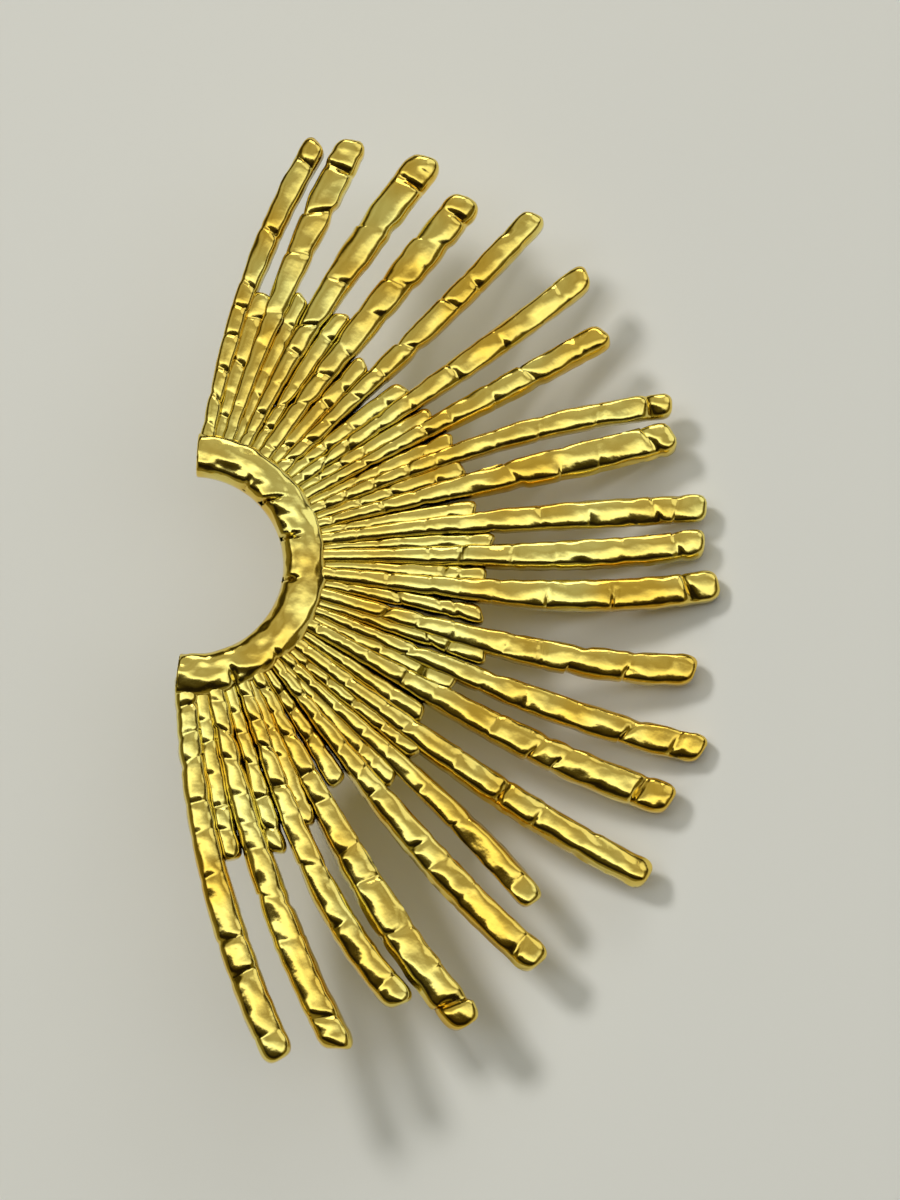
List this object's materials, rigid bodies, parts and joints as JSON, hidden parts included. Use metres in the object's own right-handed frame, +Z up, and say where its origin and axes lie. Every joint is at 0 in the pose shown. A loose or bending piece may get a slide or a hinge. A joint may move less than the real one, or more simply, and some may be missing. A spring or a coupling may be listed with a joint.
{
  "type": "statement earring",
  "caption": "Hammered gold sunburst earring: a half fan of long and short rays cast on an open half ring, with a plain ear post on its back.",
  "frame": {"origin": "on the surface it rests on, under the middle of its bounding box", "axes": "+Z up from the surface, +Y along the fan's chord from end to end, +X out along its middle rays, with the front leaning towards +X as the earring rests on its post and two ray tips"},
  "size_m": [0.0358, 0.0662, 0.0148],
  "materials": {
    "hammered_gold": "gold-plated brass casting, hammered and polished",
    "post_gold": "gold-plated drawn wire, smooth and polished"
  },
  "bodies": {
    "root": {"sunburst": "hammered_gold", "ear_post": "post_gold"}
  },
  "joints": []
}
